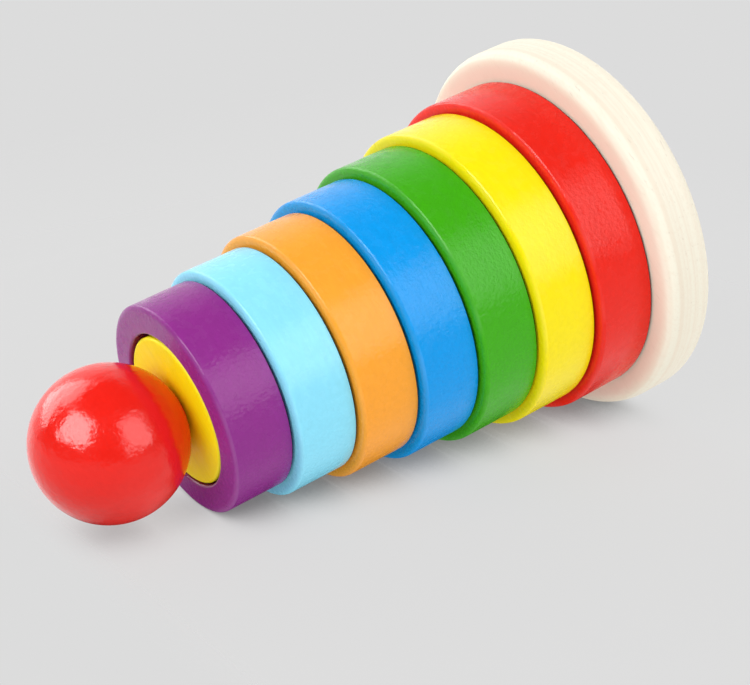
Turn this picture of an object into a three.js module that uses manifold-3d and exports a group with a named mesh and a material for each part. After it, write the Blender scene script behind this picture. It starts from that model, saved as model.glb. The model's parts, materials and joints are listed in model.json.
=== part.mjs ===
// A wooden ring stacker: a plain disc base, a painted post with a ball on its top,
// and seven lacquered rings, graded in width, that lift off over the ball one after another.
// Lengths are millimetres. The toy stands on z = 0 and its post runs up +Z.
import * as THREE from 'three';
import Module from 'manifold-3d';
import { mergeVertices } from 'three/addons/utils/BufferGeometryUtils.js';

// Base
const BASE_RADIUS = 50;
const BASE_HEIGHT = 14;
const BASE_TOP_ROUND = 3.5;
const BASE_FOOT_ROUND = 3;
const SOCKET_DEPTH = 4;

// Post, whose end lies a little below the top ring's face
const POST_RADIUS = 19;
const POST_SHORTFALL = 0.3;
const POST_TOP_ROUND = 0.8;
const POST_FOOT_ROUND = 0.6;

// Ball, as wide as the post, with a flat turned on it where it sits
const BALL_SEAT_RADIUS = 7;

// Rings, listed from the base up
const RING_HEIGHT = 16;
const RING_RADIUS_DROP = 2.65;
const TOP_RING_WALL = 7.25;
const RING_UPPER_ROUND = 1.3;
const RING_LOWER_ROUND = 0.8;
const RING_BORE_ROUND = 0.7;
const RING_LACQUERS = [
  { name: 'red_ring', colour: 0xe4302a },
  { name: 'yellow_ring', colour: 0xfbe41c },
  { name: 'green_ring', colour: 0x3f9f2f },
  { name: 'blue_ring', colour: 0x1f83dd },
  { name: 'orange_ring', colour: 0xf6963a },
  { name: 'sky_ring', colour: 0x82d7f5 },
  { name: 'purple_ring', colour: 0x83318a },
];

// Fasteners: a glued dowel under the ball and one countersunk screw under the base
const DOWEL_RADIUS = 4;
const DOWEL_LENGTH = 24;
const DOWEL_CHAMFER = 0.8;
const SCREW_LENGTH = 36;
const SCREW_SHANK_RADIUS = 2.5;
const SCREW_HEAD_RADIUS = 4.8;
const SCREW_HEAD_RIM = 0.5;
const SCREW_TIP_LENGTH = 5;
const SCREW_SINK = 1;
const RECESS_LENGTH = 5.4;
const RECESS_WIDTH = 1.3;
const RECESS_DEPTH = 1.8;

// Clearances
const REST_GAP = 0.3;
const BORE_CLEARANCE = 0.7;
const GLUE_GAP = 0.3;
const SCREW_CLEARANCE = 0.3;

// Fineness of the round faces
const ROUND_SEGMENTS = 48;
const FASTENER_SEGMENTS = 24;
const EDGE_DIVISIONS = 1;
const BASE_EDGE_DIVISIONS = 2;
const BALL_DIVISIONS = 8;
const WELD_DISTANCE = 0.0001;

// Places that follow from the sizes
const ringCount = RING_LACQUERS.length;
const ringPitch = REST_GAP + RING_HEIGHT;
const ballRadius = POST_RADIUS;
const boreRadius = ballRadius + BORE_CLEARANCE;
const stackTop = BASE_HEIGHT + ringCount * ringPitch;
const socketFloor = BASE_HEIGHT - SOCKET_DEPTH;
const postBottom = socketFloor + GLUE_GAP;
const postTop = stackTop - POST_SHORTFALL;
const ballSeat = postTop + GLUE_GAP;
const ballRise = Math.sqrt(ballRadius ** 2 - BALL_SEAT_RADIUS ** 2);
const dowelHoleRadius = DOWEL_RADIUS + GLUE_GAP;
const dowelHoleDepth = DOWEL_LENGTH / 2 + GLUE_GAP;
const dowelBottom = (postTop + ballSeat - DOWEL_LENGTH) / 2;
const screwHoleRadius = SCREW_SHANK_RADIUS + SCREW_CLEARANCE;
const screwTip = SCREW_SINK + SCREW_LENGTH;
const pilotDepth = screwTip + SCREW_CLEARANCE - postBottom;

const QUARTER = Math.PI / 2;
const HALF = Math.PI;

const wasm = await Module();
wasm.setup();

// Turns a closed outline, drawn with radius across and height up, about +Z.
// The outline runs anticlockwise, so that it climbs on its outer side.
function turned(outline, divisions, segments) {
  const geometry = new THREE.LatheGeometry(outline.getPoints(divisions), segments);
  return geometry.rotateX(QUARTER);
}

// Rounds an outer corner below (turning from a flat underside up the side).
function roundUnder(outline, radius, height, round) {
  outline.absarc(radius - round, height + round, round, -QUARTER, 0);
}

// Rounds an outer corner above (turning from the side onto a flat top).
function roundOver(outline, radius, height, round) {
  outline.absarc(radius - round, height - round, round, 0, QUARTER);
}

function paintedWood(colour, roughness) {
  return new THREE.MeshStandardMaterial({ color: colour, roughness, metalness: 0 });
}

function piece(name, geometry, material, height) {
  const mesh = new THREE.Mesh(geometry, material);
  mesh.name = name;
  mesh.position.z = height;
  return mesh;
}

// A closed solid for cutting: corners are welded and faces of no area at the axis are dropped.
function solidOf(geometry) {
  const bare = geometry.clone();
  bare.deleteAttribute('normal');
  bare.deleteAttribute('uv');
  const welded = mergeVertices(bare, WELD_DISTANCE);
  const triangles = [];
  for (let i = 0; i < welded.index.count; i += 3) {
    const corners = [0, 1, 2].map((k) => welded.index.getX(i + k));
    if (new Set(corners).size === corners.length) triangles.push(...corners);
  }
  const vertProperties = new Float32Array(welded.attributes.position.array);
  const triVerts = new Uint32Array(triangles);
  return new wasm.Manifold(new wasm.Mesh({ numProp: 3, vertProperties, triVerts }));
}

function geometryOf(solid) {
  const mesh = solid.getMesh();
  const geometry = new THREE.BufferGeometry();
  geometry.setAttribute('position', new THREE.BufferAttribute(mesh.vertProperties, mesh.numProp));
  geometry.setIndex(new THREE.BufferAttribute(mesh.triVerts, 1));
  return geometry;
}

// The disc: a socket for the post above, and a countersunk hole for the screw below.
function baseGeometry() {
  const coneTop = SCREW_SINK + SCREW_HEAD_RIM + SCREW_HEAD_RADIUS - SCREW_SHANK_RADIUS;
  const rimTop = SCREW_SINK + SCREW_HEAD_RIM;
  const socketRadius = POST_RADIUS + GLUE_GAP;
  const sinkRadius = SCREW_HEAD_RADIUS + SCREW_CLEARANCE;
  const outline = new THREE.Path();
  outline.moveTo(sinkRadius, rimTop);
  outline.lineTo(sinkRadius, 0);
  roundUnder(outline, BASE_RADIUS, 0, BASE_FOOT_ROUND);
  roundOver(outline, BASE_RADIUS, BASE_HEIGHT, BASE_TOP_ROUND);
  outline.lineTo(socketRadius, BASE_HEIGHT);
  outline.lineTo(socketRadius, socketFloor);
  outline.lineTo(screwHoleRadius, socketFloor);
  outline.lineTo(screwHoleRadius, coneTop);
  outline.closePath();
  return turned(outline, BASE_EDGE_DIVISIONS, ROUND_SEGMENTS);
}

// The post, from its pilot hole at the foot to the dowel hole in its rounded top.
function postGeometry() {
  const height = postTop - postBottom;
  const outline = new THREE.Path();
  outline.moveTo(0, pilotDepth);
  outline.lineTo(screwHoleRadius, pilotDepth);
  outline.lineTo(screwHoleRadius, 0);
  roundUnder(outline, POST_RADIUS, 0, POST_FOOT_ROUND);
  roundOver(outline, POST_RADIUS, height, POST_TOP_ROUND);
  outline.lineTo(dowelHoleRadius, height);
  outline.lineTo(dowelHoleRadius, height - dowelHoleDepth);
  outline.lineTo(0, height - dowelHoleDepth);
  return turned(outline, EDGE_DIVISIONS, ROUND_SEGMENTS);
}

// The ball, measured from its flat seat, with the dowel hole in the middle of the flat.
function ballGeometry() {
  const seatAngle = Math.asin(ballRise / ballRadius);
  const outline = new THREE.Path();
  outline.moveTo(0, dowelHoleDepth);
  outline.lineTo(dowelHoleRadius, dowelHoleDepth);
  outline.lineTo(dowelHoleRadius, 0);
  outline.absarc(0, ballRise, ballRadius, -seatAngle, QUARTER);
  return turned(outline, BALL_DIVISIONS, ROUND_SEGMENTS);
}

// The dowel pin, bevelled at both ends.
function dowelGeometry() {
  const outline = new THREE.Path();
  outline.moveTo(0, 0);
  outline.lineTo(DOWEL_RADIUS - DOWEL_CHAMFER, 0);
  outline.lineTo(DOWEL_RADIUS, DOWEL_CHAMFER);
  outline.lineTo(DOWEL_RADIUS, DOWEL_LENGTH - DOWEL_CHAMFER);
  outline.lineTo(DOWEL_RADIUS - DOWEL_CHAMFER, DOWEL_LENGTH);
  outline.lineTo(0, DOWEL_LENGTH);
  return turned(outline, EDGE_DIVISIONS, FASTENER_SEGMENTS);
}

// The wood screw, head down, with a cross recess for the driver.
function screwGeometry() {
  const neck = SCREW_HEAD_RIM + SCREW_HEAD_RADIUS - SCREW_SHANK_RADIUS;
  const outline = new THREE.Path();
  outline.moveTo(0, 0);
  outline.lineTo(SCREW_HEAD_RADIUS, 0);
  outline.lineTo(SCREW_HEAD_RADIUS, SCREW_HEAD_RIM);
  outline.lineTo(SCREW_SHANK_RADIUS, neck);
  outline.lineTo(SCREW_SHANK_RADIUS, SCREW_LENGTH - SCREW_TIP_LENGTH);
  outline.lineTo(0, SCREW_LENGTH);
  const shank = solidOf(turned(outline, EDGE_DIVISIONS, FASTENER_SEGMENTS));
  // Each slot is centred on the head's face, so that half of its height cuts in.
  const across = solidOf(new THREE.BoxGeometry(RECESS_LENGTH, RECESS_WIDTH, 2 * RECESS_DEPTH));
  const along = solidOf(new THREE.BoxGeometry(RECESS_WIDTH, RECESS_LENGTH, 2 * RECESS_DEPTH));
  return geometryOf(shank.subtract(across.add(along)));
}

// A ring: its upper outer edge is well rounded, and its other edges are just eased.
function ringGeometry(outerRadius) {
  const inner = boreRadius + RING_BORE_ROUND;
  const outline = new THREE.Path();
  roundUnder(outline, outerRadius, 0, RING_LOWER_ROUND);
  roundOver(outline, outerRadius, RING_HEIGHT, RING_UPPER_ROUND);
  outline.absarc(inner, RING_HEIGHT - RING_BORE_ROUND, RING_BORE_ROUND, QUARTER, HALF);
  outline.absarc(inner, RING_BORE_ROUND, RING_BORE_ROUND, HALF, HALF + QUARTER);
  outline.closePath();
  return turned(outline, EDGE_DIVISIONS, ROUND_SEGMENTS);
}

const bareWood = paintedWood(0xf3e2c4, 0.6);
const postLacquer = paintedWood(0xf8c81e, 0.35);
const ballLacquer = paintedWood(0xe2231c, 0.12);
const steel = new THREE.MeshStandardMaterial({ color: 0xb9bcc0, roughness: 0.35, metalness: 1 });
const RING_ROUGHNESS = 0.4;

const stand = new THREE.Group();
stand.add(
  piece('base', baseGeometry(), bareWood, 0),
  piece('post', postGeometry(), postLacquer, postBottom),
  piece('ball', ballGeometry(), ballLacquer, ballSeat),
  piece('ball_dowel', dowelGeometry(), bareWood, dowelBottom),
  piece('base_screw', screwGeometry(), steel, SCREW_SINK),
);

const rings = new THREE.Group();
RING_LACQUERS.forEach(({ name, colour }, index) => {
  const stepsFromTop = ringCount - 1 - index;
  const outerRadius = boreRadius + TOP_RING_WALL + stepsFromTop * RING_RADIUS_DROP;
  const restHeight = BASE_HEIGHT + REST_GAP + index * ringPitch;
  rings.add(piece(name, ringGeometry(outerRadius), paintedWood(colour, RING_ROUGHNESS), restHeight));
});

const stacker = new THREE.Group();
stacker.add(stand, rings);

export default stacker;
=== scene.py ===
# Looks of a wooden ring stacker that lies on its side on a pale floor: a bare wood base,
# a painted post with a glossy ball, and seven lacquered rings.
import json
import math

import bmesh
import bpy
from mathutils import Matrix, Vector


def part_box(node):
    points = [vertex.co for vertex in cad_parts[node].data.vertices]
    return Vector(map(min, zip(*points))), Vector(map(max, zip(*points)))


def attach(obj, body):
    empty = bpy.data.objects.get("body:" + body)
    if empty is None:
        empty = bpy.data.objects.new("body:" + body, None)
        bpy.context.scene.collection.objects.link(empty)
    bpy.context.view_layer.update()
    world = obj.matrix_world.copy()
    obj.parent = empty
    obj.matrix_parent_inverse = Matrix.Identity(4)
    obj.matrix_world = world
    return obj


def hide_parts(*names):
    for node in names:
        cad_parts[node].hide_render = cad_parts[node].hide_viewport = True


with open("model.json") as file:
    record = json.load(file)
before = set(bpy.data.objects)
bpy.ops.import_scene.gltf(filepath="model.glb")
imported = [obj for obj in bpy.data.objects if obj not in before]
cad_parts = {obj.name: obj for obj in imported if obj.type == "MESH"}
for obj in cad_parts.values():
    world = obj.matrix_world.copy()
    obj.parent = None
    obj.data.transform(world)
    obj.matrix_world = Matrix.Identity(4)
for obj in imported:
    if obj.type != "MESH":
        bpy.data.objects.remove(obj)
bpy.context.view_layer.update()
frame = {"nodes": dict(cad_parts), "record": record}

# Fineness of the meshes; NEAR is in metres
ROUND_SIDES = 192
EDGE_SEGMENTS = 10
SMOOTH_ANGLE = math.radians(40)
FLAT_NORMAL = 0.9
NEAR = 0.00002

# Edges, holes and gaps of the turned pieces, in metres
BASE_TOP_ROUND = 0.0044
BASE_FOOT_ROUND = 0.003
POST_SOCKET_DEPTH = 0.004
POST_TOP_ROUND = 0.0008
POST_FOOT_ROUND = 0.0006
RING_EASE_WIDTH = 0.0016
RING_EASE_DEPTH = 0.0008
RING_LOWER_ROUND = 0.0004
RING_BORE_ROUND = 0.0007
BORE_CLEARANCE = 0.0007
GLUE_GAP = 0.0003
SCREW_HEAD_RIM = 0.0005
SCREW_SHANK_RADIUS = 0.0025

# Fullness of a rounded edge: 0.5 is a quarter circle, and more is squarer
ROUND_FULLNESS = 0.5
BASE_TOP_FULLNESS = 0.62

# Play of the loose rings while the toy lies on its side, in metres
RING_SAG = 0.0005
RING_SEAM = 0.0002
BASE_RING_SEAT = 0.0001
TOP_RING_LIFT = 0.0003

# The camera, set to the photograph: the toy lies on its side, so the picture is rolled
IMAGE_WIDTH = 750
SENSOR_WIDTH = 36.0
FOCAL_PIXELS = 1830.95
CAMERA_NEAREST = 0.01
CAMERA_DISTANCE = 0.45925
CAMERA_BEARING = math.radians(-103.6)
CAMERA_LEAN = math.radians(63.312)
CAMERA_ROLL = math.radians(-116.396)
AIM_ASIDE = -0.006418
AIM_ABOVE_BASE = 0.058091

# The floor that the toy lies on, which touches the base's rim and the top ring's rim
FLOOR_BEARING = math.radians(135)
FLOOR_HALF_WIDTH = 0.34
FLOOR_BELOW = 0.2
FLOOR_ABOVE = 0.16
LEAN_ROUNDS = 5

# Where the floor starts to fade out, in shares of its size from its middle
FLOOR_EDGE = 0.5
FLOOR_SIDE_FADE = 0.28
FLOOR_BASE_FADE = -0.15
FLOOR_BALL_FADE = 0.47

# Brightness of the floor, where 1 is white, and the reach of its shadow in metres
BACKDROP = 0.716
FLOOR_BOUNCE = 0.85
FLOOR_TINT = 0.08
FLOOR_GLOW = 0.9
SHADOW_SAMPLES = 16
SHADOW_REACH = 0.014
SHADOW_FALL = 3.8
SHADOW_FULL = 0.66
SHADOW_DARKEST = 0.24
BOUNCE_DARKEST = 0.6
MIRRORED_SHADE = 0.6

# Brightness of the room, and the limits of its parts as sines of angles from its sides or its horizon
AMBIENT = 0.54
REAR_GLOW = 1.1
CEILING_GLOW = 0.06
REAR_WALL_SIDES = (0.1, 0.5)
REAR_WALL_TOP = (0.64, 0.92)
HORIZON = (-0.08, 0.02)

# Lamps: bearing and height, then width and height, all in degrees as the toy sees them, then the
# brightness, where 1 lights a white surface to white. Fills light the colour of a surface and
# aren't mirrored in it, and glints are only mirrored, as highlights.
FILL_DISTANCE = 1.2
FILLS = (
    ("left_fill", (-48, 34), (46, 36), 0.62),
    ("right_fill", (54, 30), (50, 46), 0.4),
    ("rear_left_fill", (-150, 20), (40, 40), 0.44),
    ("rear_right_fill", (140, 25), (40, 40), 0.3),
)
GLINT_DISTANCE = 1.1
GLINTS = (
    ("left_glint", (-48, 34), (44, 34), 1.75),
    ("right_glint", (50, 30), (40, 46), 0.88),
    ("rear_glint", (-120, 32), (38, 50), 0.9),
)

# Patterns of the finishes: features per metre, and their scale along X, Y and Z, where less than 1
# draws a pattern out
LACQUER_GRAIN = 900
LACQUER_CLOUD = 70
LACQUER_PEEL = 1200
LACQUER_MOTTLE = 380
BALL_GRAIN = 700
BALL_WAVE = 300
BALL_PEEL = 1600
WOOD_YEARS = 500
WOOD_WARP = 40
WOOD_FIBRE = 1500
WOOD_PORES = 2200
ZINC_CLOUD = 900
ZINC_SCRATCHES = 4000
GRAIN_DRAWN_OUT = (0.12, 1, 1)
FIBRE_DRAWN_OUT = (0.05, 1, 1)
PORES_DRAWN_OUT = (0.1, 1, 1)
WARP_DRAWN_OUT = (0.3, 1, 1)
YEARS_DRAWN_OUT = (0.03, 1, 1)
SCRATCHES_DRAWN_OUT = (1, 1, 0.1)

# The place of a wooden piece's middle as seen from the heart of the tree, in metres
WOOD_HEART = (0, 0.04, 1.2)

# Gloss of the finishes
LACQUER_MIRROR = 0.17
LACQUER_ROUGHNESS = (0.15, 0.33)
EDGE_POLISH = 0.1
POST_MIRROR = 0.1
POST_DULLNESS = 0.25
BALL_MIRROR = 0.36
BALL_ROUGHNESS = (0.13, 0.21)
WOOD_MIRROR = 0.2
WOOD_ROUGHNESS = (0.5, 0.65)
ZINC_ROUGHNESS = (0.25, 0.45)

# Relief of the finishes, in metres, and the shares of the patterns in it
POST_PEBBLES = 0.00009
BALL_RELIEF = 0.00022
WOOD_RELIEF = 0.00004
ZINC_RELIEF = 0.00001
WOOD_WARP_DEPTH = 0.0012
GRAIN_IN_LACQUER = 0.5
PEEL_ON_BALL = 0.22
PORES_IN_WOOD = 0.8

# Shades of the finishes: how light or dark a colour gets in them
LACQUER_LIGHT = 1.03
LACQUER_DARK = 0.95
LACQUER_CLOUDED = 0.5
LACQUER_RUBBED = 0.04
# Painted shade: how dark the rings' lower rounded edges get, standing in for the shade in the seams between
# rings
SEAM_PAINTED_SHADE = 0.05
BALL_DARK = 0.9
BALL_GRAINED = 0.4
WOOD_YEARS_SHARE = 0.55
WOOD_FIBRE_SHARE = 0.4
WOOD_PORES_SHARE = 0.4
PORE_DARK = 0.75
ZINC_DARK = 0.75

# The part of a pattern's values that shows, from its start to its full strength
MIDDLE = (0.3, 0.7)
CORE = (0.35, 0.65)
BALL_GRAIN_SHOWS = (0.4, 0.75)
YEARS_SHOW = (0.42, 0.68)
FIBRE_SHOWS = (0.5, 0.8)
PORES_SHOW = (0.68, 0.78)
PORES_SINK = (0.66, 0.78)
# Where on a downward edge the painted seam shade starts and where it is full
SEAM_SHADE_SHOWS = (0.02, 0.25)

# Sockets of a Mix node that mixes colours
MIX_FROM = 6
MIX_TOWARDS = 7
MIXED_COLOUR = 2

RINGS = (
    "red_ring", "yellow_ring", "green_ring", "blue_ring", "orange_ring", "sky_ring", "purple_ring")

record = frame["record"]
BODY_OF = {node: body for body, nodes in record["behaviour"]["bodies"].items() for node in nodes}


def turned_size(node):
    """Radius, lowest and highest point of a piece that is turned about the post's axis."""
    low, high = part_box(node)
    return (high.x - low.x) / 2, low.z, high.z


BASE_RADIUS, BASE_BOTTOM, BASE_TOP = turned_size("base")
POST_RADIUS, POST_BOTTOM, POST_TOP = turned_size("post")
BALL_RADIUS, BALL_BOTTOM, BALL_TOP = turned_size("ball")
DOWEL_RADIUS, DOWEL_BOTTOM, DOWEL_TOP = turned_size("ball_dowel")
HEAD_RADIUS, SCREW_BOTTOM, SCREW_TOP = turned_size("base_screw")
TOP_RING_RADIUS, _, STACK_TOP = turned_size(RINGS[-1])


# Colours


def srgb(red, green, blue):
    """A display colour, 0 to 255, as the linear colour that a shader takes."""
    channels = [value / 255 for value in (red, green, blue)]
    return [c / 12.92 if c <= 0.04045 else ((c + 0.055) / 1.055) ** 2.4 for c in channels] + [1.0]


def shade(colour, amount):
    """A linear colour made darker, or lighter where amount is above 1."""
    return [min(channel * amount, 1.0) for channel in colour[:3]] + [1.0]


def grey(level):
    return (level, level, level, 1)


# Modelling


def start_cylinder(name, radius, bottom, top):
    bpy.ops.object.select_all(action="DESELECT")
    bpy.ops.mesh.primitive_cylinder_add(
        vertices=ROUND_SIDES, radius=radius, depth=top - bottom, location=(0, 0, (bottom + top) / 2))
    bpy.ops.object.transform_apply(location=True, rotation=True, scale=True)
    piece = bpy.context.active_object
    piece.name = name
    bpy.ops.object.mode_set(mode="EDIT")
    return piece


def pick_faces(piece, wanted):
    """Selects only the faces that are wanted."""
    bpy.ops.mesh.select_mode(type="FACE")
    bpy.ops.mesh.select_all(action="DESELECT")
    shape = bmesh.from_edit_mesh(piece.data)
    for face in shape.faces:
        if wanted(face):
            face.select_set(True)
    bmesh.update_edit_mesh(piece.data)


def pick_rim(piece, radius, height):
    """Selects only the circle of edges at this radius and height."""
    bpy.ops.mesh.select_mode(type="EDGE")
    bpy.ops.mesh.select_all(action="DESELECT")
    shape = bmesh.from_edit_mesh(piece.data)

    def on_rim(vertex):
        across = math.hypot(vertex.co.x, vertex.co.y)
        return abs(across - radius) < NEAR and abs(vertex.co.z - height) < NEAR

    for edge in shape.edges:
        if all(on_rim(vertex) for vertex in edge.verts):
            edge.select_set(True)
    bmesh.update_edit_mesh(piece.data)


def round_rim(piece, radius, height, amount, fullness=ROUND_FULLNESS):
    pick_rim(piece, radius, height)
    bpy.ops.mesh.bevel(
        offset=amount, segments=EDGE_SEGMENTS, profile=fullness, affect="EDGES", clamp_overlap=False)


def flatten_above(piece, height, amount):
    """Squeezes what lies above this height down towards it."""
    bpy.ops.mesh.select_mode(type="VERT")
    bpy.ops.mesh.select_all(action="DESELECT")
    shape = bmesh.from_edit_mesh(piece.data)
    for vertex in shape.verts:
        if vertex.co.z > height + NEAR:
            vertex.select_set(True)
    bmesh.update_edit_mesh(piece.data)
    bpy.ops.transform.resize(value=(1, 1, amount), center_override=(0, 0, height))


def is_flat(face):
    """True for a face that looks straight up or down."""
    return abs(face.normal.z) > FLAT_NORMAL


def flat_at(height, facing):
    """A test for the flat faces at this height that face up (1) or down (-1)."""
    def wanted(face):
        return face.normal.z * facing > FLAT_NORMAL and abs(face.calc_center_median().z - height) < NEAR
    return wanted


def sink_hole(piece, height, facing, edge_radius, hole_radius, depth):
    """Sinks a round hole into the flat face at this height, which reaches out to edge_radius."""
    pick_faces(piece, flat_at(height, facing))
    bpy.ops.mesh.inset(thickness=edge_radius - hole_radius)
    bpy.ops.mesh.extrude_region_move(TRANSFORM_OT_translate={"value": (0, 0, -facing * depth)})


def mark_edges(piece):
    """Stores how far round a rounded edge each corner lies: 0 on a wall or a flat, 1 halfway, and the same
    for downward edges alone, which get the painted shade of the seams.
    """
    mesh = piece.data
    rounding = []
    for normal in mesh.corner_normals:
        rounding.append(2 * math.hypot(normal.vector.x, normal.vector.y) * normal.vector.z)
    edge = mesh.attributes.new("edge", "FLOAT", "CORNER")
    edge.data.foreach_set("value", [abs(amount) for amount in rounding])
    # The downward edges alone, which get the painted shade of the seams
    seam_shade_mask = mesh.attributes.new("seam_shade_mask", "FLOAT", "CORNER")
    seam_shade_mask.data.foreach_set("value", [max(0, -amount) for amount in rounding])


def settle(piece, node, material):
    """Shades a finished piece, and puts it in the place of its node."""
    bpy.ops.object.mode_set(mode="OBJECT")
    bpy.ops.object.shade_smooth_by_angle(angle=SMOOTH_ANGLE)
    bpy.ops.object.modifier_add(type="WEIGHTED_NORMAL")
    piece.modifiers[-1].keep_sharp = True
    bpy.ops.object.modifier_apply(modifier=piece.modifiers[-1].name)
    mark_edges(piece)
    piece.data.materials.clear()
    piece.data.materials.append(material)
    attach(piece, BODY_OF[node])
    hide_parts(node)


def finish_node(node, material):
    """Gives its material to a CAD node that keeps its own shape."""
    materials = frame["nodes"][node].data.materials
    materials.clear()
    materials.append(material)


def turn_ring(node, drop, seat):
    """A ring, bored through and eased at its edges, that has dropped towards the floor."""
    radius, bottom, top = turned_size(node)
    bore = POST_RADIUS + BORE_CLEARANCE
    bottom -= seat
    wall_top = top - RING_EASE_DEPTH
    piece = start_cylinder(node + "_turned", radius, bottom, wall_top + RING_EASE_WIDTH)
    pick_faces(piece, is_flat)
    bpy.ops.mesh.inset(thickness=radius - bore)
    bpy.ops.mesh.bridge_edge_loops()
    round_rim(piece, radius, wall_top + RING_EASE_WIDTH, RING_EASE_WIDTH)
    flatten_above(piece, wall_top, RING_EASE_DEPTH / RING_EASE_WIDTH)
    round_rim(piece, radius, bottom, RING_LOWER_ROUND)
    round_rim(piece, bore, top, RING_BORE_ROUND)
    round_rim(piece, bore, bottom, RING_BORE_ROUND)
    bpy.ops.mesh.select_all(action="SELECT")
    bpy.ops.transform.translate(value=(drop * math.cos(FLOOR_BEARING), drop * math.sin(FLOOR_BEARING), 0))
    return piece


def turn_base():
    """The disc: rounded edges, the post's socket, and a countersunk screw hole up into the socket."""
    piece = start_cylinder("base_turned", BASE_RADIUS, BASE_BOTTOM, BASE_TOP)
    socket_radius = POST_RADIUS + GLUE_GAP
    head_hole = HEAD_RADIUS + GLUE_GAP
    shank_hole = SCREW_SHANK_RADIUS + GLUE_GAP
    sink_hole(piece, BASE_TOP, 1, BASE_RADIUS, socket_radius, POST_SOCKET_DEPTH)
    bpy.ops.mesh.inset(thickness=socket_radius - shank_hole)
    sink_hole(piece, BASE_BOTTOM, -1, BASE_RADIUS, head_hole, SCREW_BOTTOM + SCREW_HEAD_RIM)
    countersink = head_hole - shank_hole
    bpy.ops.mesh.extrude_region_move(TRANSFORM_OT_translate={"value": (0, 0, countersink)})
    narrowing = shank_hole / head_hole
    bpy.ops.transform.resize(value=(narrowing, narrowing, 1))
    hole_end = math.pi * (shank_hole + NEAR) ** 2
    pick_faces(piece, lambda face: is_flat(face) and len(face.verts) == ROUND_SIDES
               and face.calc_area() < hole_end)
    bpy.ops.mesh.bridge_edge_loops()
    round_rim(piece, BASE_RADIUS, BASE_TOP, BASE_TOP_ROUND, BASE_TOP_FULLNESS)
    round_rim(piece, BASE_RADIUS, BASE_BOTTOM, BASE_FOOT_ROUND)
    return piece


def turn_post():
    """The post: eased ends, with the dowel's hole above and the screw's hole below."""
    piece = start_cylinder("post_turned", POST_RADIUS, POST_BOTTOM, POST_TOP)
    dowel_hole = DOWEL_RADIUS + GLUE_GAP
    screw_hole = SCREW_SHANK_RADIUS + GLUE_GAP
    sink_hole(piece, POST_TOP, 1, POST_RADIUS, dowel_hole, POST_TOP - DOWEL_BOTTOM + GLUE_GAP)
    sink_hole(piece, POST_BOTTOM, -1, POST_RADIUS, screw_hole, SCREW_TOP + GLUE_GAP - POST_BOTTOM)
    round_rim(piece, POST_RADIUS, POST_TOP, POST_TOP_ROUND)
    round_rim(piece, POST_RADIUS, POST_BOTTOM, POST_FOOT_ROUND)
    return piece


def turn_ball():
    """The ball: a sphere with a flat cut where it sits, and the dowel's hole in the flat."""
    centre = BALL_TOP - BALL_RADIUS
    bpy.ops.object.select_all(action="DESELECT")
    bpy.ops.mesh.primitive_uv_sphere_add(
        segments=ROUND_SIDES, ring_count=ROUND_SIDES // 2, radius=BALL_RADIUS, location=(0, 0, centre))
    bpy.ops.object.transform_apply(location=True, rotation=True, scale=True)
    piece = bpy.context.active_object
    piece.name = "ball_turned"
    bpy.ops.object.mode_set(mode="EDIT")
    bpy.ops.mesh.select_all(action="SELECT")
    bpy.ops.mesh.bisect(plane_co=(0, 0, BALL_BOTTOM), plane_no=(0, 0, 1), use_fill=True, clear_inner=True)
    seat_radius = math.sqrt(BALL_RADIUS ** 2 - (centre - BALL_BOTTOM) ** 2)
    dowel_hole = DOWEL_RADIUS + GLUE_GAP
    sink_hole(piece, BALL_BOTTOM, -1, seat_radius, dowel_hole, DOWEL_TOP - BALL_BOTTOM + GLUE_GAP)
    return piece


# Materials


def add(tree, kind, values=None, links=None, **settings):
    """A new shader node with these settings, socket values and links from other nodes' outputs."""
    node = tree.nodes.new("ShaderNode" + kind)
    for name, value in settings.items():
        setattr(node, name, value)
    for socket, value in (values or {}).items():
        node.inputs[socket].default_value = value
    for socket, source in (links or {}).items():
        tree.links.new(source, node.inputs[socket])
    return node


def noise(tree, place, scale, detail):
    """Noise whose features are about one over scale metres wide."""
    return add(tree, "TexNoise", {"Scale": scale, "Detail": detail}, {"Vector": place}).outputs["Fac"]


def stretch(tree, place, scale):
    return add(tree, "Mapping", {"Scale": scale}, {"Vector": place}).outputs[0]


def spread(tree, value, given, wanted):
    """A value between the two given limits, taken to lie between the two wanted ones."""
    limits = {"From Min": given[0], "From Max": given[1], "To Min": wanted[0], "To Max": wanted[1]}
    return add(tree, "MapRange", limits, {"Value": value}).outputs[0]


def reckon(tree, operation, first, second):
    """The result of an operation on two values, of which the second may be a plain number."""
    if isinstance(second, (int, float)):
        return add(tree, "Math", {1: second}, {0: first}, operation=operation).outputs[0]
    return add(tree, "Math", links={0: first, 1: second}, operation=operation).outputs[0]


def tint(tree, amount, colour, towards):
    """A colour that goes towards another one by an amount; either may come from a node."""
    values = {}
    links = {"Factor": amount}
    for socket, paint in ((MIX_FROM, colour), (MIX_TOWARDS, towards)):
        if isinstance(paint, bpy.types.NodeSocket):
            links[socket] = paint
        else:
            values[socket] = paint
    return add(tree, "Mix", values, links, data_type="RGBA").outputs[MIXED_COLOUR]


def choose(tree, switch, without, having):
    """One of two values, as a switch is off or on."""
    return add(tree, "Mix", links={"Factor": switch, "A": without, "B": having}).outputs[0]


def raise_bumps(tree, shader, height, depth):
    bump = add(tree, "Bump", {"Strength": 1.0, "Distance": depth}, {"Height": height})
    tree.links.new(bump.outputs["Normal"], shader.inputs["Normal"])
    tree.links.new(bump.outputs["Normal"], shader.inputs["Coat Normal"])


def start_material(name):
    material = bpy.data.materials.new(name)
    material.use_nodes = True
    tree = material.node_tree
    place = add(tree, "TexCoord").outputs["Object"]
    return material, tree, tree.nodes["Principled BSDF"], place


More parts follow.
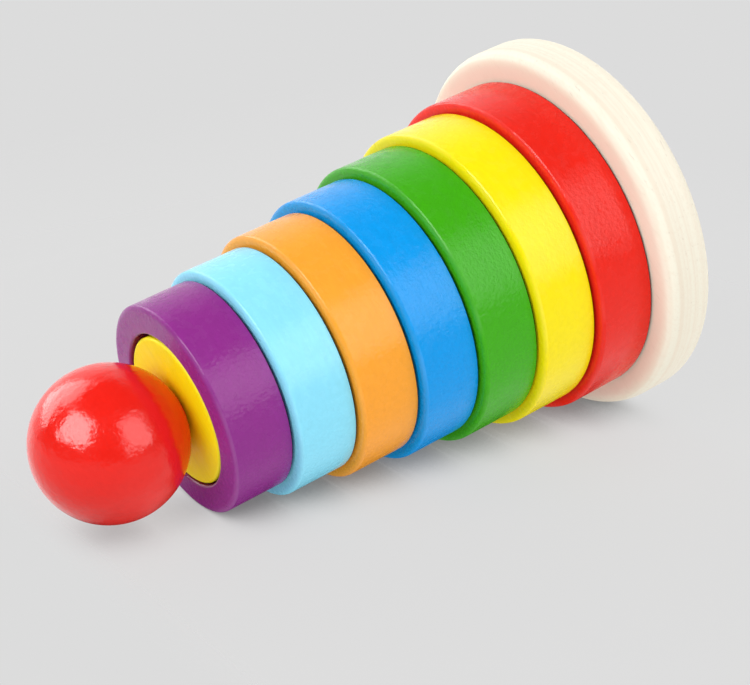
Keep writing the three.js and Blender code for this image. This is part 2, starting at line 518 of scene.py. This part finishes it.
def satin_lacquer(name, colour, pebbles, mirror=LACQUER_MIRROR, dullness=0.0):
    """Satin lacquer over wood: the grain shows faintly through it, its skin is finely pebbled,
    its edges are rubbed smooth and pale, and its lower edges are darkened as painted shade of the seams
    between rings."""
    material, tree, shader, place = start_material(name)
    grain = noise(tree, stretch(tree, place, GRAIN_DRAWN_OUT), LACQUER_GRAIN, detail=4)
    cloud = noise(tree, place, LACQUER_CLOUD, detail=3)
    peel = noise(tree, place, LACQUER_PEEL, detail=3)
    mottle = noise(tree, place, LACQUER_MOTTLE, detail=4)
    edge = add(tree, "Attribute", attribute_name="edge").outputs["Fac"]
    seam_shade_mask = add(tree, "Attribute", attribute_name="seam_shade_mask").outputs["Fac"]
    light = shade(colour, LACQUER_LIGHT)
    dark = shade(colour, LACQUER_DARK)
    rubbed = reckon(tree, "MULTIPLY", edge, spread(tree, cloud, CORE, (0, LACQUER_RUBBED)))
    paint = tint(tree, spread(tree, grain, MIDDLE, (0, 1)), light, dark)
    paint = tint(tree, spread(tree, cloud, MIDDLE, (0, LACQUER_CLOUDED)), paint, dark)
    paint = tint(tree, rubbed, paint, grey(1))
    # Painted shade: the lower rounded edges go dark, standing in for the shade in the seams between rings
    painted_seam_shade = spread(tree, seam_shade_mask, SEAM_SHADE_SHOWS, (0, 1))
    paint = tint(tree, painted_seam_shade, paint, shade(colour, SEAM_PAINTED_SHADE))
    tree.links.new(paint, shader.inputs["Base Color"])
    roughness = spread(tree, mottle, CORE, [dullness + limit for limit in LACQUER_ROUGHNESS])
    polish = reckon(tree, "MULTIPLY", edge, EDGE_POLISH)
    tree.links.new(reckon(tree, "SUBTRACT", roughness, polish), shader.inputs["Roughness"])
    shader.inputs["Specular IOR Level"].default_value = mirror
    height = reckon(tree, "ADD", reckon(tree, "MULTIPLY", grain, GRAIN_IN_LACQUER), peel)
    raise_bumps(tree, shader, height, pebbles)
    return material


def gloss_lacquer(name, colour):
    """Thick gloss lacquer on a turned ball: slightly wavy, with a fine skin."""
    material, tree, shader, place = start_material(name)
    grain = noise(tree, stretch(tree, place, GRAIN_DRAWN_OUT), BALL_GRAIN, detail=3)
    wave = noise(tree, place, BALL_WAVE, detail=2)
    peel = noise(tree, place, BALL_PEEL, detail=2)
    grained = spread(tree, grain, BALL_GRAIN_SHOWS, (0, BALL_GRAINED))
    tree.links.new(tint(tree, grained, colour, shade(colour, BALL_DARK)), shader.inputs["Base Color"])
    tree.links.new(spread(tree, peel, MIDDLE, BALL_ROUGHNESS), shader.inputs["Roughness"])
    shader.inputs["Specular IOR Level"].default_value = BALL_MIRROR
    height = reckon(tree, "ADD", wave, reckon(tree, "MULTIPLY", peel, PEEL_ON_BALL))
    raise_bumps(tree, shader, height, BALL_RELIEF)
    return material


def bare_wood(name, pale, late):
    """Sanded pale wood: its years lie nearly flat in the disc, with fibres and pores along X."""
    material, tree, shader, place = start_material(name)
    layers = {"Location": WOOD_HEART, "Scale": YEARS_DRAWN_OUT}
    from_heart = add(tree, "Mapping", layers, {"Vector": place}).outputs[0]
    age = add(tree, "VectorMath", links={0: from_heart}, operation="LENGTH").outputs["Value"]
    warp = noise(tree, stretch(tree, place, WARP_DRAWN_OUT), WOOD_WARP, detail=2)
    age = reckon(tree, "ADD", age, reckon(tree, "MULTIPLY", warp, WOOD_WARP_DEPTH))
    thickness = {"Scale": WOOD_YEARS, "Detail": 2}
    years = add(tree, "TexNoise", thickness, {"W": age}, noise_dimensions="1D").outputs["Fac"]
    fibre = noise(tree, stretch(tree, place, FIBRE_DRAWN_OUT), WOOD_FIBRE, detail=3)
    pores = noise(tree, stretch(tree, place, PORES_DRAWN_OUT), WOOD_PORES, detail=1)
    wood = tint(tree, spread(tree, years, YEARS_SHOW, (0, WOOD_YEARS_SHARE)), pale, late)
    wood = tint(tree, spread(tree, fibre, FIBRE_SHOWS, (0, WOOD_FIBRE_SHARE)), wood, late)
    pored = spread(tree, pores, PORES_SHOW, (0, WOOD_PORES_SHARE))
    tree.links.new(tint(tree, pored, wood, shade(late, PORE_DARK)), shader.inputs["Base Color"])
    tree.links.new(spread(tree, fibre, MIDDLE, WOOD_ROUGHNESS), shader.inputs["Roughness"])
    shader.inputs["Specular IOR Level"].default_value = WOOD_MIRROR
    sunk = spread(tree, pores, PORES_SINK, (0, PORES_IN_WOOD))
    raise_bumps(tree, shader, reckon(tree, "SUBTRACT", fibre, sunk), WOOD_RELIEF)
    return material


def zinc_plate(name, colour):
    """Zinc-plated steel, slightly cloudy."""
    material, tree, shader, place = start_material(name)
    cloud = noise(tree, place, ZINC_CLOUD, detail=4)
    scratches = noise(tree, stretch(tree, place, SCRATCHES_DRAWN_OUT), ZINC_SCRATCHES, detail=2)
    tree.links.new(tint(tree, cloud, colour, shade(colour, ZINC_DARK)), shader.inputs["Base Color"])
    tree.links.new(spread(tree, cloud, MIDDLE, ZINC_ROUGHNESS), shader.inputs["Roughness"])
    shader.inputs["Metallic"].default_value = 1.0
    raise_bumps(tree, shader, scratches, ZINC_RELIEF)
    return material


# Stage


def ease_reach(lean):
    """How far a ring's eased front edge reaches from the middle of its curve, in this direction."""
    return math.hypot(RING_EASE_WIDTH * math.cos(lean), RING_EASE_DEPTH * math.sin(lean))


def base_reach(lean):
    """The same for the base's upper edge, whose curve is a superellipse."""
    power = -math.log(2) / math.log(math.sqrt(BASE_TOP_FULLNESS))
    dual = power / (power - 1)
    return BASE_TOP_ROUND * (math.cos(lean) ** dual + math.sin(lean) ** dual) ** (1 / dual)


def floor_line():
    """Lean and distance of the line, in the post's profile, that touches the base and the top ring."""
    base_corner = Vector((BASE_RADIUS - BASE_TOP_ROUND, BASE_TOP - BASE_TOP_ROUND))
    ring_corner = Vector((TOP_RING_RADIUS - TOP_RING_LIFT - RING_EASE_WIDTH, STACK_TOP - RING_EASE_DEPTH))
    apart = base_corner - ring_corner
    bearing = math.atan2(apart.y, apart.x)
    lean = 0
    for _ in range(LEAN_ROUNDS):
        lean = bearing + math.acos((ease_reach(lean) - base_reach(lean)) / apart.length)
    out = Vector((math.cos(lean), math.sin(lean)))
    return lean, out.dot(base_corner) + base_reach(lean)


def ring_drop(node):
    """How far a loose ring has dropped towards the floor, or less than 0 for the top one, which the
    floor lifts."""
    if node == RINGS[-1]:
        return -TOP_RING_LIFT
    radius, _, top = turned_size(node)
    lean, distance = floor_line()
    out = Vector((math.cos(lean), math.sin(lean)))
    corner = Vector((radius - RING_EASE_WIDTH, top - RING_EASE_DEPTH))
    room = (distance - out.dot(corner) - ease_reach(lean)) / math.cos(lean)
    return min(RING_SAG, room)


def floor_axes():
    """The floor's sideways, along (up the post) and upward directions, and its point nearest the origin."""
    lean, distance = floor_line()
    towards = Vector((math.cos(FLOOR_BEARING), math.sin(FLOOR_BEARING), 0))
    up = -(towards * math.cos(lean) + Vector((0, 0, math.sin(lean))))
    along = (Vector((0, 0, 1)) - up * up.z).normalized()
    return along.cross(up), along, up, up * -distance


def lay_floor(material):
    sideways, along, up, foot = floor_axes()
    bpy.ops.object.select_all(action="DESELECT")
    bpy.ops.mesh.primitive_plane_add(size=1)
    floor = bpy.context.active_object
    floor.name = "floor"
    length = FLOOR_ABOVE + FLOOR_BELOW
    middle = foot + along * (FLOOR_ABOVE - FLOOR_BELOW) / 2
    turn = Matrix((sideways * 2 * FLOOR_HALF_WIDTH, along * length, up)).transposed().to_4x4()
    floor.matrix_world = Matrix.Translation(middle) @ turn
    floor.visible_shadow = False
    floor.data.materials.append(material)


def floor_paper():
    """Pale paper that glows with its own even light, standing in for lit paper, for the light it bounces
    onto the toy and for its reflections, darkened close to the toy by ambient occlusion as its shadow, a
    little lit by the lamps too, seen from above only and fading out at its edges."""
    material, tree, shader, place = start_material("floor_paper")
    tree.nodes.remove(shader)
    nearby = {"Distance": SHADOW_REACH}
    open_sky = add(tree, "AmbientOcclusion", nearby, samples=SHADOW_SAMPLES).outputs["AO"]
    covered = spread(tree, open_sky, (0, 1), (1, 0))
    shadow = reckon(tree, "POWER", covered, SHADOW_FALL)
    plain = BACKDROP - FLOOR_TINT
    seen = spread(tree, shadow, (0, SHADOW_FULL), (plain, plain * SHADOW_DARKEST))
    bounced = spread(tree, shadow, (0, SHADOW_FULL), (FLOOR_BOUNCE, FLOOR_BOUNCE * BOUNCE_DARKEST))
    mirrored = spread(tree, covered, (0, MIRRORED_SHADE), (FLOOR_GLOW, 0))
    rays = add(tree, "LightPath").outputs
    level = choose(tree, rays["Is Glossy Ray"], bounced, mirrored)
    level = choose(tree, rays["Is Camera Ray"], level, seen)
    glow = add(tree, "Emission", links={"Color": level}).outputs[0]
    tinted = add(tree, "BsdfDiffuse", {"Color": grey(FLOOR_TINT)}).outputs[0]
    paper = add(tree, "AddShader", links={0: glow, 1: tinted}).outputs[0]
    clear = add(tree, "BsdfTransparent").outputs[0]
    outward = add(tree, "VectorMath", links={0: place}, operation="ABSOLUTE").outputs[0]
    aside = add(tree, "SeparateXYZ", links={0: outward}).outputs["X"]
    along = add(tree, "SeparateXYZ", links={0: place}).outputs["Y"]
    fades = (
        spread(tree, aside, (FLOOR_SIDE_FADE, FLOOR_EDGE), (0, 1)),
        spread(tree, along, (FLOOR_BASE_FADE, -FLOOR_EDGE), (0, 1)),
        spread(tree, along, (FLOOR_BALL_FADE, FLOOR_EDGE), (0, 1)),
    )
    gone = add(tree, "NewGeometry").outputs["Backfacing"]
    for fade in fades:
        gone = reckon(tree, "MAXIMUM", gone, fade)
    surface = add(tree, "MixShader", links={0: gone, 1: paper, 2: clear}).outputs[0]
    tree.links.new(surface, tree.nodes["Material Output"].inputs["Surface"])
    return material


def place_camera():
    """Sets the camera up, and returns the direction that it looks in."""
    data = bpy.data.cameras.new("camera")
    data.sensor_width = SENSOR_WIDTH
    data.lens = FOCAL_PIXELS * SENSOR_WIDTH / IMAGE_WIDTH
    data.clip_start = CAMERA_NEAREST
    camera = bpy.data.objects.new("camera", data)
    bpy.context.scene.collection.objects.link(camera)
    towards = Vector((math.cos(CAMERA_BEARING), math.sin(CAMERA_BEARING), 0))
    aside = Vector((-math.sin(CAMERA_BEARING), math.cos(CAMERA_BEARING), 0))
    back = towards * math.sin(CAMERA_LEAN) + Vector((0, 0, math.cos(CAMERA_LEAN)))
    level_up = (Vector((0, 0, 1)) - back * back.z).normalized()
    level_right = level_up.cross(back)
    right = level_right * math.cos(CAMERA_ROLL) + level_up * math.sin(CAMERA_ROLL)
    up = level_up * math.cos(CAMERA_ROLL) - level_right * math.sin(CAMERA_ROLL)
    aim = aside * AIM_ASIDE + Vector((0, 0, BASE_TOP + AIM_ABOVE_BASE))
    turn = Matrix((right, up, back)).transposed().to_4x4()
    camera.matrix_world = Matrix.Translation(aim + back * CAMERA_DISTANCE) @ turn
    bpy.context.scene.camera = camera
    return -back


def light_axes(view):
    """The room's directions: away from the camera along the floor, to the right of that, and up."""
    up = floor_axes()[2]
    ahead = (view - up * view.dot(up)).normalized()
    return ahead, ahead.cross(up), up


def towards_light(axes, azimuth, elevation):
    """The way to a light, with azimuth counted from the camera to its right."""
    ahead, side, up = axes
    level = side * math.sin(azimuth) - ahead * math.cos(azimuth)
    return level * math.cos(elevation) + up * math.sin(elevation)


def hang_panel(axes, distance, unseen_by, name, place, size, brightness):
    """A lit panel at this distance, which one kind of ray doesn't see."""
    away = towards_light(axes, *(math.radians(angle) for angle in place))
    across = axes[2].cross(away).normalized()
    width, height = (2 * distance * math.tan(math.radians(angle) / 2) for angle in size)
    data = bpy.data.lights.new(name, "AREA")
    data.shape = "RECTANGLE"
    data.size = width
    data.size_y = height
    data.energy = brightness * (math.pi * distance) ** 2
    lamp = bpy.data.objects.new(name, data)
    bpy.context.scene.collection.objects.link(lamp)
    turn = Matrix((across, away.cross(across), away)).transposed().to_4x4()
    middle = Vector((0, 0, (BASE_BOTTOM + BALL_TOP) / 2))
    lamp.matrix_world = Matrix.Translation(middle + away * distance) @ turn
    lamp.visible_camera = False
    setattr(lamp, "visible_" + unseen_by, False)


def light_room(axes):
    """An even room for matt surfaces; glossy ones see a pale rear wall and floor under a dark ceiling."""
    ahead, _, up = axes
    world = bpy.data.worlds.new("room")
    world.use_nodes = True
    tree = world.node_tree
    tree.nodes.clear()
    rays = add(tree, "LightPath").outputs
    way = add(tree, "TexCoord").outputs["Generated"]
    height = add(tree, "VectorMath", {1: up}, {0: way}, operation="DOT_PRODUCT").outputs["Value"]
    rearward = add(tree, "VectorMath", {1: ahead}, {0: way}, operation="DOT_PRODUCT").outputs["Value"]
    wall = spread(tree, rearward, REAR_WALL_SIDES, (0, 1))
    wall = reckon(tree, "MULTIPLY", wall, spread(tree, height, REAR_WALL_TOP, (1, 0)))
    below = spread(tree, height, HORIZON, (FLOOR_GLOW, 0))
    glow = reckon(tree, "MAXIMUM", reckon(tree, "MULTIPLY", wall, REAR_GLOW), below)
    glow = reckon(tree, "MAXIMUM", glow, CEILING_GLOW)
    even = add(tree, "Background", {"Color": grey(AMBIENT)}).outputs[0]
    mirrored = add(tree, "Background", links={"Color": glow}).outputs[0]
    backdrop = add(tree, "Background", {"Color": grey(BACKDROP)}).outputs[0]
    lit = add(tree, "MixShader", links={0: rays["Is Glossy Ray"], 1: even, 2: mirrored}).outputs[0]
    seen = add(tree, "MixShader", links={0: rays["Is Camera Ray"], 1: lit, 2: backdrop}).outputs[0]
    add(tree, "OutputWorld", links={"Surface": seen})
    bpy.context.scene.world = world


room_axes = light_axes(place_camera())
lay_floor(floor_paper())
light_room(room_axes)
for fill in FILLS:
    hang_panel(room_axes, FILL_DISTANCE, "glossy", *fill)
for glint in GLINTS:
    hang_panel(room_axes, GLINT_DISTANCE, "diffuse", *glint)

# Colours of the finishes; each ring also has the depth of the pebbles in its lacquer, in metres
BASE_PALE = srgb(242, 236, 218)
BASE_LATE = srgb(233, 217, 195)
DOWEL_PALE = srgb(238, 222, 190)
DOWEL_LATE = srgb(214, 184, 140)
POST_YELLOW = srgb(252, 241, 10)
BALL_RED = srgb(236, 30, 18)
SCREW_GREY = srgb(200, 200, 205)
RING_PAINTS = {
    "red_ring": (srgb(234, 38, 25), 0.00008),
    "yellow_ring": (srgb(252, 231, 10), 0.00005),
    "green_ring": (srgb(65, 171, 18), 0.00013),
    "blue_ring": (srgb(9, 154, 234), 0.00013),
    "orange_ring": (srgb(252, 165, 51), 0.00008),
    "sky_ring": (srgb(143, 227, 252), 0.00007),
    "purple_ring": (srgb(143, 46, 138), 0.00013),
}
for node in RINGS:
    seat = BASE_RING_SEAT if node == RINGS[0] else -RING_SEAM
    colour, pebbles = RING_PAINTS[node]
    lacquer = satin_lacquer(node + "_lacquer", colour, pebbles)
    settle(turn_ring(node, ring_drop(node), seat), node, lacquer)
settle(turn_base(), "base", bare_wood("sanded_wood", BASE_PALE, BASE_LATE))
post_lacquer = satin_lacquer("post_lacquer", POST_YELLOW, POST_PEBBLES, POST_MIRROR, POST_DULLNESS)
settle(turn_post(), "post", post_lacquer)
settle(turn_ball(), "ball", gloss_lacquer("ball_lacquer", BALL_RED))
finish_node("ball_dowel", bare_wood("dowel_wood", DOWEL_PALE, DOWEL_LATE))
finish_node("base_screw", zinc_plate("screw_zinc", SCREW_GREY))

bpy.context.scene.view_settings.view_transform = "Standard"
